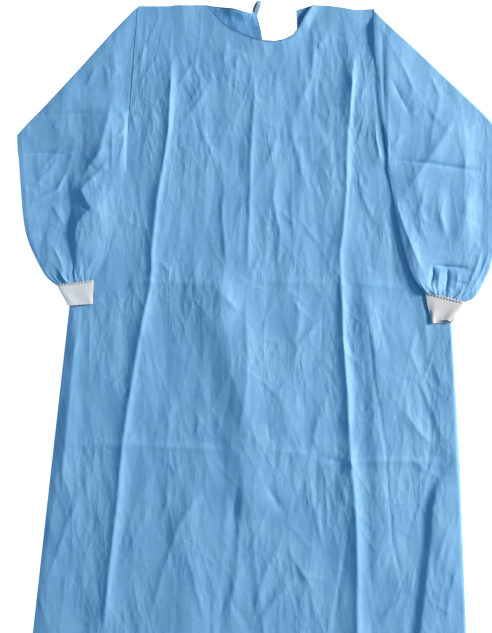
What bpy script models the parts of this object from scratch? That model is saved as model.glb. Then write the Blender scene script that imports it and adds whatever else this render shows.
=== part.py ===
"""Disposable gown laid out flat, face up.

The gown lies in the XY plane with its neck towards +Y and its back panels on z = 0.
Tables hold millimetres as a cutter would measure them: "across" runs from the
middle of the laid-out gown, positive to the right, and "down" runs from the shoulder
line towards the hem. Blender's units are metres.
"""

import math

import bmesh
import bpy
from mathutils import Vector

MM = 0.001

# Driving dimensions, in millimetres.
GOWN_LENGTH = 1240.0
TAB_ABOVE_SHOULDER = 5.0
CLOTH = 1.0
SEAM_GAP = 0.3
BACK_TOP = CLOTH
FRONT_UNDER = BACK_TOP + SEAM_GAP
NECK_DEPTH_BLEND = 150.0
ARMHOLE_STRAIGHT_END = 285.0
BINDING_WIDTH = 6.0
BINDING_GAP = 0.5
CUFF_WALL = 1.2
CUFF_HEIGHT = 7.0
CUFF_RIBS = 22
RIB_HEIGHT = 0.5

CLOTH_BLUE = (0.190, 0.405, 0.700, 1.0)
CUFF_WHITE = (0.70, 0.72, 0.75, 1.0)
TAB_PALE = (0.45, 0.60, 0.78, 1.0)

# Each edge is a run of (down, across).
LEFT_EDGE = (
    (0.0, -229.0),
    (ARMHOLE_STRAIGHT_END, -250.5),
    (293.0, -256.0),
    (303.0, -271.0),
    (312.0, -297.0),
    (321.0, -331.0),
    (572.0, -359.0),
    (900.0, -396.0),
    (GOWN_LENGTH, -434.0),
)
RIGHT_EDGE = (
    (0.0, 220.0),
    (ARMHOLE_STRAIGHT_END, 241.5),
    (293.0, 247.0),
    (303.0, 264.0),
    (312.0, 300.0),
    (321.0, 352.0),
    (598.0, 367.0),
    (860.0, 383.0),
    (GOWN_LENGTH, 397.5),
)

# The top edge of the front: shoulder, neckline, shoulder, as (across, down).
SHOULDER_LEFT_ACROSS = -229.0
SHOULDER_RIGHT_ACROSS = 220.0
FRONT_TOP = (
    (SHOULDER_LEFT_ACROSS, 2.0),
    (-170.0, 2.0),
    (-158.0, 0.0),
    (-97.0, 0.0),
    (-82.0, 18.0),
    (-69.0, 32.0),
    (-51.0, 45.0),
    (-34.0, 53.0),
    (-9.0, 63.5),
    (8.0, 67.5),
    (33.0, 68.5),
    (50.0, 65.0),
    (66.0, 56.5),
    (77.0, 41.0),
    (89.0, 18.0),
    (103.0, 0.0),
    (132.0, 1.0),
    (162.0, 5.0),
    (184.0, 10.0),
    (SHOULDER_RIGHT_ACROSS, 8.0),
)

# Columns of the front between its left and right creases, where they start at the top edge.
COLUMNS_LEFT_OF_CENTRE = (-124.0, -97.0, -82.0, -69.0, -51.0)
COLUMNS_RIGHT_OF_CENTRE = (8.0, 33.0, 50.0, 66.0, 77.0, 89.0, 103.0, 134.0)

# The lengthwise creases that packing pressed into the front.
# line: (down, across); height: (down, height of the crest)
LENGTH_CREASES = {
    "left": {
        "line": (
            (0, -163), (85, -167), (250, -176), (430, -197), (535, -211),
            (780, -251), (990, -276), (GOWN_LENGTH, -300),
        ),
        "height": ((30, 0.0), (90, 3.0), (400, 4.5), (560, 4.0), (900, 5.5), (GOWN_LENGTH, 6.0)),
        "reach": 20.0,
    },
    "centre": {
        "line": ((0, -34), (85, -29), (155, -17), (250, -12), (430, -16), (520, -21), (GOWN_LENGTH, -16)),
        "height": ((70, 0.0), (120, 3.0), (400, 3.5), (530, 4.0), (700, 1.5), (GOWN_LENGTH, 2.5)),
        "reach": 18.0,
    },
    "right": {
        "line": (
            (0, 180), (150, 177), (245, 172), (370, 163), (520, 159),
            (770, 168), (870, 178), (950, 188), (GOWN_LENGTH, 190),
        ),
        "height": ((20, 0.0), (60, 4.0), (300, 3.5), (530, 4.0), (900, 5.0), (GOWN_LENGTH, 5.5)),
        "reach": 20.0,
    },
}

# The deep fold near the right side, as a share of the way from the right crease to the edge.
SIDE_FOLD_SHARES = ((0, 0.62), (860, 0.74), (1025, 0.62), (GOWN_LENGTH, 0.56))
SIDE_FOLD_HEIGHT = ((800, 0.0), (920, 6.0), (GOWN_LENGTH, 7.0))
SIDE_FOLD_FOOT_SHARE = 0.09
SIDE_FOLD_REACH = 22.0

# Creases across the front: down at the left end, down at the right end, from and to across,
# crest height and half width.
CROSS_CREASES = (
    ("chest", 247.0, 250.0, -150.0, 130.0, 2.0, 18.0),
    ("waist", 528.0, 522.0, -265.0, 255.0, 3.5, 16.0),
    ("knee", 846.0, 840.0, -350.0, 330.0, 3.5, 16.0),
)

# The neckline stands up off the back panels.
NECK_LIFT = 4.5
NECK_LIFT_REACH = 70.0
NECK_MIDDLE_ACROSS = 8.0
NECK_HALF_WIDTH = 105.0

# Which stretch of each neck edge its binding covers, as (from across, to across). On the back
# halves that is the stretch inside the neck opening, clear of the front and of the tab.
FRONT_BINDING_SPAN = (-98.0, 104.0)
BACK_LEFT_BINDING_SPAN = (-80.0, -20.0)
BACK_RIGHT_BINDING_SPAN = (70.0, 90.0)

# The right side of the neckline rolls up in a short ridge: from across, down to across, down,
# height, half width.
NECK_ROLL = (103.0, 4.0, 84.0, 44.0, 5.0, 20.0)

# The left back stands up in a small hump beside the closing tab.
BACK_HUMP = 3.5
BACK_HUMP_ACROSS = -48.0
BACK_HUMP_HALF_WIDTH = 28.0
BACK_HUMP_REACH = 30.0

FRONT_ROWS = (
    0, 26, 54, 84, 116, NECK_DEPTH_BLEND, 190, 232, 250, 268, ARMHOLE_STRAIGHT_END,
    293, 303, 312, 321, 360, 400, 440, 480, 509, 525, 541, 580, 630, 680, 730, 780, 822, 843, 864,
    900, 940, 980, 1025, 1070, 1115, 1160, 1200, GOWN_LENGTH,
)
BACK_ROWS = (
    0, 24, 50, 90, NECK_DEPTH_BLEND, 220, ARMHOLE_STRAIGHT_END, 293, 303, 312, 321,
    420, 520, 640, 780, 920, 1060, GOWN_LENGTH,
)

BACK_LEFT_COLUMNS = 12
BACK_RIGHT_COLUMNS = 9

# The open back: its two middle edges as (down, across), and their top edges as (across, down).
BACK_LEFT_MIDDLE = ((0, -2.5), (32, 4.5), (62, 9.5), (GOWN_LENGTH, -22.0))
BACK_RIGHT_MIDDLE = ((0, 72.5), (44, 74.0), (GOWN_LENGTH, 42.0))
BACK_LEFT_TOP = (
    (SHOULDER_LEFT_ACROSS, 2.0),
    (-170.0, 2.0),
    (-158.0, 0.0),
    (-97.0, 0.0),
    (-63.0, 5.0),
    (-46.0, 8.0),
    (-29.0, 13.0),
    (-2.5, 18.0),
)
BACK_RIGHT_TOP = (
    (72.5, 10.0),
    (88.0, 5.0),
    (103.0, 0.0),
    (132.0, 1.0),
    (162.0, 5.0),
    (184.0, 10.0),
    (SHOULDER_RIGHT_ACROSS, 8.0),
)

# Sleeve sections from armhole to wrist: outer across, outer down, inner across, inner down,
# height of the hollow, height that the whole sleeve arches up, height of the gathers.
SLEEVES = {
    "left": (
        (-229.4, 2.5, -253.2, 317.0, 0.3, 0.0, 0.0),
        (-280.0, 54.0, -256.0, 332.0, 1.2, 0.0, 0.0),
        (-345.0, 126.0, -260.0, 352.0, 2.0, 0.0, 0.0),
        (-417.0, 203.0, -263.5, 372.0, 2.5, 0.0, 0.0),
        (-459.2, 247.0, -267.0, 392.0, 3.0, 0.5, 0.0),
        (-455.5, 296.0, -271.0, 411.0, 3.4, 1.5, 0.0),
        (-451.5, 352.0, -276.5, 430.0, 3.6, 2.5, 0.0),
        (-447.5, 400.0, -282.0, 450.0, 3.6, 3.5, 0.0),
        (-441.0, 438.0, -287.0, 470.0, 3.6, 4.0, 0.4),
        (-427.0, 474.0, -293.5, 489.0, 3.6, 4.0, 1.0),
        (-405.0, 514.0, -303.0, 508.0, 3.6, 2.5, 1.8),
        (-382.0, 534.0, -312.5, 525.0, 3.4, 0.0, 1.4),
    ),
    "right": (
        (220.4, 8.5, 244.2, 310.0, 0.3, 0.0, 0.0),
        (272.0, 57.0, 247.5, 327.0, 1.2, 0.0, 0.0),
        (336.0, 118.0, 251.0, 345.0, 2.0, 0.0, 0.0),
        (400.0, 178.0, 255.0, 368.0, 2.5, 0.0, 0.0),
        (457.5, 236.0, 259.0, 392.0, 3.0, 1.0, 0.0),
        (457.0, 304.0, 264.0, 420.0, 3.4, 2.5, 0.0),
        (455.5, 370.0, 270.0, 447.0, 3.6, 4.0, 0.0),
        (452.5, 437.0, 276.0, 470.0, 3.6, 5.0, 0.0),
        (444.0, 490.0, 283.5, 497.0, 3.6, 5.0, 0.5),
        (431.0, 523.0, 290.5, 514.0, 3.6, 4.5, 1.2),
        (412.0, 555.0, 301.0, 531.0, 3.6, 2.5, 2.0),
        (390.5, 566.0, 315.0, 547.5, 3.4, 0.0, 1.4),
    ),
}
SLEEVE_RINGS = 25
SLEEVE_POINTS = 18
SLEEVE_EDGE_INSET = 1.6
SLEEVE_EDGE_CROWDING = 0.11
SLEEVE_SHOULDER = 16.0

# Ridges on the upper layer of each sleeve: from across, down to across, down, height, half width.
SLEEVE_RIDGES = {
    "left": (
        ("long fold", -318.0, 322.0, -336.0, 520.0, 5.0, 24.0),
        ("outer lobe", -392.0, 330.0, -372.0, 520.0, 3.0, 34.0),
        ("elbow fold", -345.0, 255.0, -412.0, 366.0, 3.0, 22.0),
        ("upper fold", -435.0, 286.0, -300.0, 270.0, 1.5, 20.0),
    ),
    "right": (
        ("shoulder fold", 236.0, 40.0, 252.0, 280.0, 4.0, 22.0),
        ("slant fold", 372.0, 190.0, 285.0, 370.0, 3.5, 34.0),
        ("inner lobe", 296.0, 400.0, 322.0, 520.0, 3.0, 26.0),
        ("lower fold", 322.0, 497.0, 405.0, 503.0, 2.0, 16.0),
    ),
}

# How far outside the body's side a sleeve still lies at the body's height, and where it is down.
SLEEVE_LEVEL_REACH = 36.0
SLEEVE_DROP_REACH = 70.0

# Cuffs: across and down of the outer and inner corner, at the wrist and at the hand.
CUFFS = {
    "left": ((-382.0, 535.0), (-312.8, 526.0), (-361.0, 571.5), (-314.5, 568.0)),
    "right": ((390.5, 567.0), (315.2, 548.5), (365.5, 604.0), (328.5, 605.0)),
}
CUFF_RINGS = 5

# The pale closing tab: across and down of its middle, height and half width.
TAB_SECTIONS = (
    (-12.0, 34.0, 1.3, 6.0),
    (-9.0, 24.0, 1.3, 6.5),
    (-7.0, 15.0, 1.8, 6.5),
    (-3.5, 7.0, 4.5, 6.5),
    (0.0, 0.0, 8.0, 6.0),
    (2.5, -5.0, 11.0, 4.5),
)
TAB_CREASE = 3.0


def between(rows, at):
    """Read a run of (position, value) rows at a position, straight between its rows."""
    if at <= rows[0][0]:
        return rows[0][1]
    for (low, first), (high, second) in zip(rows, rows[1:]):
        if at <= high:
            return first + (second - first) * (at - low) / (high - low)
    return rows[-1][1]


def smooth_table(rows, share):
    """Read a table of equal-length rows on a smooth curve through them, share 0 to 1."""
    place = share * (len(rows) - 1)
    index = min(int(place), len(rows) - 2)
    t = place - index
    before = rows[max(index - 1, 0)]
    after = rows[min(index + 2, len(rows) - 1)]
    values = []
    for p0, p1, p2, p3 in zip(before, rows[index], rows[index + 1], after):
        bend = 2 * p0 - 5 * p1 + 4 * p2 - p3
        turn = 3 * p1 - p0 - 3 * p2 + p3
        values.append(0.5 * (2 * p1 + (p2 - p0) * t + bend * t * t + turn * t ** 3))
    return values


def soft_step(value, low, high):
    t = min(max((value - low) / (high - low), 0.0), 1.0)
    return t * t * (3 - 2 * t)


def crest(distance, reach):
    """The section of a soft ridge: 1 on its line and 0 from reach outwards."""
    t = min(abs(distance) / reach, 1.0)
    return 0.5 + 0.5 * math.cos(math.pi * t)


def ridge(row, across, down):
    """Height of a soft ridge given as start, end, height and half width."""
    start_across, start_down, end_across, end_down, top, reach = row
    along_across = end_across - start_across
    along_down = end_down - start_down
    length = math.hypot(along_across, along_down)
    from_across = across - start_across
    from_down = down - start_down
    share = (from_across * along_across + from_down * along_down) / length ** 2
    away = (from_across * along_down - from_down * along_across) / length
    ends = soft_step(share, -0.15, 0.2) * (1 - soft_step(share, 0.8, 1.15))
    return top * crest(away, reach) * ends


def place(across, down, height):
    """A point of the gown in metres."""
    middle = 0.5 * (GOWN_LENGTH - TAB_ABOVE_SHOULDER)
    return Vector((across * MM, (middle - down) * MM, height * MM))


def side_fold_across(down):
    crease = between(LENGTH_CREASES["right"]["line"], down)
    return crease + (between(RIGHT_EDGE, down) - crease) * between(SIDE_FOLD_SHARES, down)


def neck_rise(across, down):
    """How far the front stands up round its neckline."""
    below = down - between(FRONT_TOP, across)
    sideways = crest(across - NECK_MIDDLE_ACROSS, NECK_HALF_WIDTH)
    lift = NECK_LIFT * sideways * (1 - soft_step(below, 0.0, NECK_LIFT_REACH))
    return lift + ridge(NECK_ROLL, across, down)


def back_rise(across, down):
    """How far the left back stands up at its neck edge, inside the neckline."""
    below = down - between(BACK_LEFT_TOP, across)
    sideways = crest(across - BACK_HUMP_ACROSS, BACK_HUMP_HALF_WIDTH)
    return BACK_HUMP * sideways * (1 - soft_step(below, 0.0, BACK_HUMP_REACH))


def front_relief(across, down):
    """Height of the front's folds over the back panels."""
    height = neck_rise(across, down)
    for crease in LENGTH_CREASES.values():
        away = across - between(crease["line"], down)
        height += between(crease["height"], down) * crest(away, crease["reach"])
    away = across - side_fold_across(down)
    height += between(SIDE_FOLD_HEIGHT, down) * crest(away, SIDE_FOLD_REACH)
    for _, left_down, right_down, start, end, top, reach in CROSS_CREASES:
        share = (across - start) / (end - start)
        if 0 < share < 1:
            away = down - (left_down + (right_down - left_down) * share)
            height += top * crest(away, reach) * math.sin(math.pi * share) ** 0.5
    return height


def front_under(across, down):
    """Underside of the front panel."""
    return FRONT_UNDER + front_relief(across, down)


def front_columns(down):
    """Where the front's columns cross one row: they follow its lengthwise creases."""
    feet = {}
    for name, crease in LENGTH_CREASES.items():
        line = between(crease["line"], down)
        feet[name] = (line - crease["reach"], line, line + crease["reach"])
    left_edge = between(LEFT_EDGE, down)
    right_edge = between(RIGHT_EDGE, down)
    settled = soft_step(down, 0.0, 2 * NECK_DEPTH_BLEND)

    def filled(start, end, tops):
        found = []
        for index, top in enumerate(tops, 1):
            even = start + (end - start) * index / (len(tops) + 1)
            found.append(top + (even - top) * settled)
        return found

    def shares(start, end, count):
        return [start + (end - start) * index / (count + 1) for index in range(1, count + 1)]

    columns = [left_edge, *shares(left_edge, feet["left"][0], 2), *feet["left"]]
    columns += filled(feet["left"][2], feet["centre"][0], COLUMNS_LEFT_OF_CENTRE)
    columns += feet["centre"]
    columns += filled(feet["centre"][2], feet["right"][0], COLUMNS_RIGHT_OF_CENTRE)
    columns += feet["right"]
    start = feet["right"][2]
    fold_share = between(SIDE_FOLD_SHARES, down)
    for share in (fold_share - SIDE_FOLD_FOOT_SHARE, fold_share, fold_share + SIDE_FOLD_FOOT_SHARE):
        columns.append(start + (right_edge - start) * share)
    columns.append(right_edge)
    return columns


def warped_down(top, row):
    """Rows start on the top edge and are straight from the blend depth on."""
    if row >= NECK_DEPTH_BLEND:
        return row
    return top + row * (1 - top / NECK_DEPTH_BLEND)


def new_object(name, mesh, material, collection):
    mesh.materials.append(material)
    mesh.shade_smooth()
    obj = bpy.data.objects.new(name, mesh)
    collection.objects.link(obj)
    return obj


def sheet_object(name, rows, thickness, material, collection):
    """A sheet of cloth: its underside as rows of points, given its wall by Solidify."""
    bm = bmesh.new()
    grid = [[bm.verts.new(point) for point in row] for row in rows]
    for upper, lower in zip(grid, grid[1:]):
        for a, b, c, d in zip(upper, upper[1:], lower[1:], lower):
            bm.faces.new((a, d, c, b))
    bmesh.ops.recalc_face_normals(bm, faces=bm.faces)
    bm.faces.ensure_lookup_table()
    bm.normal_update()
    if bm.faces[0].normal.z < 0:
        bmesh.ops.reverse_faces(bm, faces=bm.faces)
    mesh = bpy.data.meshes.new(name)
    bm.to_mesh(mesh)
    bm.free()
    obj = new_object(name, mesh, material, collection)
    wall = obj.modifiers.new("wall", "SOLIDIFY")
    wall.thickness = thickness * MM
    wall.offset = 1.0
    wall.use_rim = True
    return obj


def tube_object(name, rings, material, collection):
    """A tube of cloth open at both ends: each ring is (outer points, inner points)."""
    bm = bmesh.new()
    outer = [[bm.verts.new(point) for point in ring[0]] for ring in rings]
    inner = [[bm.verts.new(point) for point in ring[1]] for ring in rings]
    count = len(outer[0])
    for loops in (outer, inner):
        for first, second in zip(loops, loops[1:]):
            for j in range(count):
                k = (j + 1) % count
                bm.faces.new((first[j], first[k], second[k], second[j]))
    for end in (0, -1):
        for j in range(count):
            k = (j + 1) % count
            bm.faces.new((outer[end][j], outer[end][k], inner[end][k], inner[end][j]))
    bmesh.ops.recalc_face_normals(bm, faces=bm.faces)
    mesh = bpy.data.meshes.new(name)
    bm.to_mesh(mesh)
    bm.free()
    return new_object(name, mesh, material, collection)


def front_grid():
    """The front's underside as rows of (across, down)."""
    tops = [between(FRONT_TOP, across) for across in front_columns(0.0)]
    grid = []
    for row in FRONT_ROWS:
        columns = front_columns(row)
        grid.append([(a, warped_down(top, row)) for a, top in zip(columns, tops)])
    return grid


def make_front(material, collection):
    rows = []
    for row in front_grid():
        rows.append([place(a, d, front_under(a, d)) for a, d in row])
    return sheet_object("front_panel", rows, CLOTH, material, collection)


def back_grid(edge, middle, top, count):
    """A back half as rows of (across, down), from its outer edge to the open middle."""
    grid = []
    for row in BACK_ROWS:
        start = between(edge, row)
        end = between(middle, row)
        line = []
        for index in range(count + 1):
            across = start + (end - start) * index / count
            top_start = between(edge, 0.0)
            top_across = top_start + (between(middle, 0.0) - top_start) * index / count
            line.append((across, warped_down(between(top, top_across), row)))
        grid.append(line)
    return grid


def make_backs(material, collection):
    halves = (
        ("back_panel_left", LEFT_EDGE, BACK_LEFT_MIDDLE, BACK_LEFT_TOP, BACK_LEFT_COLUMNS),
        ("back_panel_right", RIGHT_EDGE, BACK_RIGHT_MIDDLE, BACK_RIGHT_TOP, BACK_RIGHT_COLUMNS),
    )
    for name, edge, middle, top, count in halves:
        grid = back_grid(edge, middle, top, count)
        rows = [[place(a, d, back_rise(a, d)) for a, d in row] for row in grid]
        sheet_object(name, rows, CLOTH, material, collection)


def body_share(side, across, down):
    """1 where a sleeve lies at the height of the body, 0 where it lies on the table."""
    edge = LEFT_EDGE if side == "left" else RIGHT_EDGE
    outwards = -1 if side == "left" else 1
    underarm = 321.0
    beside = (across - between(edge, max(down, underarm))) * outwards
    above = ARMHOLE_STRAIGHT_END - down
    return 1 - soft_step(max(beside, above), SLEEVE_LEVEL_REACH, SLEEVE_DROP_REACH)


def sleeve_under(side, across, down):
    """Underside of a sleeve: on the front panel inside the body, on the table outside it."""
    return (FRONT_UNDER + CLOTH + SEAM_GAP + 0.1) * body_share(side, across, down)


def sleeve_relief(side, across, down):
    return sum(ridge(row[1:], across, down) for row in SLEEVE_RIDGES[side])


def sleeve_ring(side, share):
    """Outer and inner points round one section, along the underside and back over the top."""
    section = smooth_table(SLEEVES[side], share)
    outer_across, outer_down, inner_across, inner_down, hollow, arch, gather = section
    width = math.hypot(inner_across - outer_across, inner_down - outer_down)
    inset = SLEEVE_EDGE_INSET / width
    ends = soft_step(share, 0.0, 0.12) * (1 - soft_step(share, 0.86, 1.0))
    lower = []
    upper = []
    for index in range(SLEEVE_POINTS):
        even = index / (SLEEVE_POINTS - 1)
        crowded = even - SLEEVE_EDGE_CROWDING * math.sin(2 * math.pi * even)
        t = inset + (1 - 2 * inset) * crowded
        across = outer_across + (inner_across - outer_across) * t
        down = outer_down + (inner_down - outer_down) * t
        from_edge = min(min(crowded, 1 - crowded) * width / SLEEVE_SHOULDER, 1.0)
        round_edge = math.sqrt(1 - (1 - from_edge) ** 2)
        middle = math.sin(math.pi * crowded)
        under = sleeve_under(side, across, down) + arch * middle * body_share(side, across, down)
        rise = SEAM_GAP + (hollow - SEAM_GAP) * round_edge
        fold = sleeve_relief(side, across, down) * round_edge * ends
        under += 0.5 * fold * body_share(side, across, down)
        rise += 0.5 * fold + gather * round_edge * (index % 2)
        lower.append((across, down, under, under + CLOTH))
        upper.append((across, down, under + 2 * CLOTH + rise, under + CLOTH + rise))
    outer = [place(a, d, low) for a, d, low, _ in lower]
    inner = [place(a, d, high) for a, d, _, high in lower]

    def edge_points(across, down, end, step):
        """The fold at an edge: the outer point on the edge, the inner one a wall inside it."""
        low = lower[end][2]
        high = upper[end][2]
        height = 0.5 * (low + high)
        t = step * (CLOTH - SLEEVE_EDGE_INSET) / width
        side_across = lower[end][0] + (inner_across - outer_across) * t
        side_down = lower[end][1] + (inner_down - outer_down) * t
        return place(across, down, height), place(side_across, side_down, height)

    far = edge_points(inner_across, inner_down, -1, -1)
    near = edge_points(outer_across, outer_down, 0, 1)
    outer.append(far[0])
    inner.append(far[1])
    outer += [place(a, d, high) for a, d, high, _ in reversed(upper)]
    inner += [place(a, d, low) for a, d, _, low in reversed(upper)]
    outer.append(near[0])
    inner.append(near[1])
    return outer, inner


def make_sleeves(material, collection):
    for side in SLEEVES:
        rings = [sleeve_ring(side, k / (SLEEVE_RINGS - 1)) for k in range(SLEEVE_RINGS)]
        tube_object("sleeve_" + side, rings, material, collection)


def make_cuffs(material, collection):
    """Each cuff is a flattened ribbed tube that lies at the height of the front."""
    under = FRONT_UNDER + CLOTH + SEAM_GAP + 0.1
    points = 2 * CUFF_RIBS
    for side, (wrist_outer, wrist_inner, hand_outer, hand_inner) in CUFFS.items():
        rings = []
        for k in range(CUFF_RINGS):
            share = k / (CUFF_RINGS - 1)
            outer_end = Vector(wrist_outer).lerp(Vector(hand_outer), share)
            inner_end = Vector(wrist_inner).lerp(Vector(hand_inner), share)
            middle = (outer_end + inner_end) / 2
            half = (inner_end - outer_end) / 2
            outer = []
            inner = []
            for j in range(points):
                angle = 2 * math.pi * j / points
                flat = math.copysign(abs(math.cos(angle)) ** 0.75, math.cos(angle))
                rise = math.copysign(abs(math.sin(angle)) ** 0.75, math.sin(angle))
                rib = RIB_HEIGHT * (j % 2) * (rise > 0.05)
                for found, inset in ((outer, -rib), (inner, CUFF_WALL)):
                    spot = middle + half * flat * (1 - inset / half.length)
                    height = under + CUFF_HEIGHT / 2 + rise * (CUFF_HEIGHT / 2 - inset)
                    found.append(place(spot.x, spot.y, height))
            rings.append((outer, inner))
        tube_object("cuff_" + side, rings, material, collection)


def make_bindings(material, collection):
    """Narrow strips on the neck edges, made from the panels' own border points moved out."""
    lift = CLOTH + BINDING_GAP
    left_back = back_grid(LEFT_EDGE, BACK_LEFT_MIDDLE, BACK_LEFT_TOP, BACK_LEFT_COLUMNS)
    right_back = back_grid(RIGHT_EDGE, BACK_RIGHT_MIDDLE, BACK_RIGHT_TOP, BACK_RIGHT_COLUMNS)
    strips = (
        ("neck_binding_front", front_grid(), front_under, FRONT_BINDING_SPAN),
        ("neck_binding_back_left", left_back, back_rise, BACK_LEFT_BINDING_SPAN),
        ("neck_binding_back_right", right_back, back_rise, BACK_RIGHT_BINDING_SPAN),
    )
    for name, grid, under, (start, end) in strips:
        rows = [[], []]
        for top, second in zip(grid[0], grid[1]):
            if start <= top[0] <= end:
                edge = place(*top, under(*top) + lift)
                inside = place(*second, under(*second) + lift)
                rows[0].append(edge)
                rows[1].append(edge + (inside - edge).normalized() * BINDING_WIDTH * MM)
        sheet_object(name, rows, CLOTH, material, collection)


def make_tab(material, collection):
    """The closing tab stands up from the left back's neck corner."""
    rows = []
    for across, down, height, half in TAB_SECTIONS:
        crease = TAB_CREASE * soft_step(height, 1.3, 4.0)
        left = place(across - half, down, height - crease / 2)
        middle = place(across - 0.2 * half, down, height + crease)
        right = place(across + half, down, height)
        rows.append([left, middle, right])
    sheet_object("neck_tab", rows, CLOTH, material, collection)


def plain_material(name, colour, roughness):
    material = bpy.data.materials.new(name)
    material.use_nodes = True
    shader = material.node_tree.nodes["Principled BSDF"]
    shader.inputs["Base Color"].default_value = colour
    shader.inputs["Roughness"].default_value = roughness
    shader.inputs["Metallic"].default_value = 0.0
    return material


def main():
    for obj in list(bpy.data.objects):
        bpy.data.objects.remove(obj)
    collection = bpy.data.collections.new("disposable_gown")
    bpy.context.scene.collection.children.link(collection)
    make_front(plain_material("front_cloth", CLOTH_BLUE, 0.75), collection)
    make_backs(plain_material("back_cloth", CLOTH_BLUE, 0.75), collection)
    make_sleeves(plain_material("sleeve_cloth", CLOTH_BLUE, 0.75), collection)
    make_cuffs(plain_material("cuff_knit", CUFF_WHITE, 0.9), collection)
    make_bindings(plain_material("binding_cloth", CLOTH_BLUE, 0.75), collection)
    make_tab(plain_material("tab_cloth", TAB_PALE, 0.8), collection)


main()
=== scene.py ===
# A disposable gown laid out flat, face up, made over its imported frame.
# Tables hold millimetres: "across" from the middle of the gown, positive to the right,
# and "down" from the shoulder line towards the hem. Lines that run down are rows of
# (down, across), and lines along the top are rows of (across, down).
# A crease is one row: its height, its width on the left or below, its width on the right
# or above, and then across and down of each of its points in turn.
import math

import bpy
import numpy as np
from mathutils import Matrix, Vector


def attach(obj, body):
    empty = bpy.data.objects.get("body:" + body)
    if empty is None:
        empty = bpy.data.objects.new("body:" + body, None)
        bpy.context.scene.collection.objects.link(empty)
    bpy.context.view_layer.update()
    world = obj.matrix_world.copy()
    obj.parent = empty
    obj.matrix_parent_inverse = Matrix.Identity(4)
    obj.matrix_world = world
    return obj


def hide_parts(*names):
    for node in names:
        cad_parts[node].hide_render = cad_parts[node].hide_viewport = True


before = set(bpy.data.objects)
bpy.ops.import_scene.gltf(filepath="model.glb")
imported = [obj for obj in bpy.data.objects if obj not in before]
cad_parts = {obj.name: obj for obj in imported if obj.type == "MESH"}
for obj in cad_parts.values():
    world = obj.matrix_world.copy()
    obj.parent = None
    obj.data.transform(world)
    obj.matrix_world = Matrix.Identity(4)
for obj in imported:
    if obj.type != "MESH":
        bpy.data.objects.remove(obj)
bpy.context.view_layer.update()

mm = 0.001
gownLength = 1240.0
gownMiddle = 617.5
armholeEnd = 285.0
underarmEnd = 321.0
neckBlend = 150.0

leftEdge = (
    (0, -229), (285, -250.5), (293, -256), (303, -271), (312, -297), (321, -331),
    (572, -359), (900, -396), (1240, -434),
)
rightEdge = (
    (0, 220.5), (36, 219), (76, 219.8), (118, 223.5), (152, 225.5), (218, 231.6), (271, 238.8),
    (285, 241.5), (293, 247), (303, 264), (312, 300), (321, 352), (598, 367), (860, 383),
    (1240, 397.5),
)
frontTop = (
    (-229, 2), (-170, 2), (-158, 0), (-97, 0), (-82, 18), (-69, 32), (-51, 45), (-34, 53),
    (-9, 63.5), (8, 67.5), (33, 68.5), (50, 65), (66, 56.5), (77, 41), (89, 18), (103, 0),
    (132, 1), (162, 5), (184, 10), (220, 8),
)
# Where the three packing creases run down the front.
creaseLines = {
    "left": (
        (0, -165), (142, -165), (243, -171), (308, -181), (370, -192), (471, -202), (528, -203),
        (598, -219), (680, -234), (770, -248), (832, -257), (946, -267), (1106, -286), (1240, -298),
    ),
    "centre": (
        (0, -28), (108, -21), (243, -14), (319, -20), (433, -22), (509, -25), (580, -25),
        (712, -21), (770, -29), (836, -42), (1240, -42),
    ),
    "right": (
        (0, 193), (48, 189), (118, 180), (213, 174), (346, 168), (433, 161), (471, 155),
        (542, 158), (631, 161), (745, 170), (859, 174), (946, 188), (1240, 196),
    ),
}


def between(rows, at):
    table = np.array(rows, float)
    return np.interp(at, table[:, 0], table[:, 1])


def softStep(value, low, high):
    t = np.clip((value - low) / (high - low), 0.0, 1.0)
    return t * t * (3 - 2 * t)


def crest(distance, reach):
    return 0.5 + 0.5 * np.cos(np.pi * np.minimum(np.abs(distance) / reach, 1.0))


def roundEdge(distance, reach):
    # A quarter circle, from 0 on the edge to 1 at the reach.
    return np.sqrt(1 - (1 - np.clip(distance / reach, 0.0, 1.0)) ** 2)


def smoothTable(rows, share):
    # A smooth curve through the rows of a table, read at many shares at once.
    table = np.array(rows, float)
    place = np.asarray(share, float) * (len(table) - 1)
    index = np.minimum(place.astype(int), len(table) - 2)
    t = (place - index)[:, None]
    p0 = table[np.maximum(index - 1, 0)]
    p1 = table[index]
    p2 = table[index + 1]
    p3 = table[np.minimum(index + 2, len(table) - 1)]
    bend = 2 * p0 - 5 * p1 + 4 * p2 - p3
    turn = 3 * p1 - p0 - 3 * p2 + p3
    return 0.5 * (2 * p1 + (p2 - p0) * t + bend * t * t + turn * t ** 3)


creaseLook = {"endShare": 0.36, "endLength": 70.0, "cutOff": 3.4}
starLook = {
    "widths": (3.2, 4.6), "turnWave": 3.1, "turnShare": 0.5, "reachWave": 1.7,
    "reachShare": 0.75, "reachSwing": 0.4, "behind": 0.12, "hollow": -0.8, "hollowEach": 3,
}
strayLook = {
    "lengthSpread": 0.5, "heights": (0.45, 1.3), "ridges": 0.62, "hollow": -0.8, "bend": 0.05,
    "leftWidths": (0.7, 1.3), "rightWidths": (0.9, 1.9),
}


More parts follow.
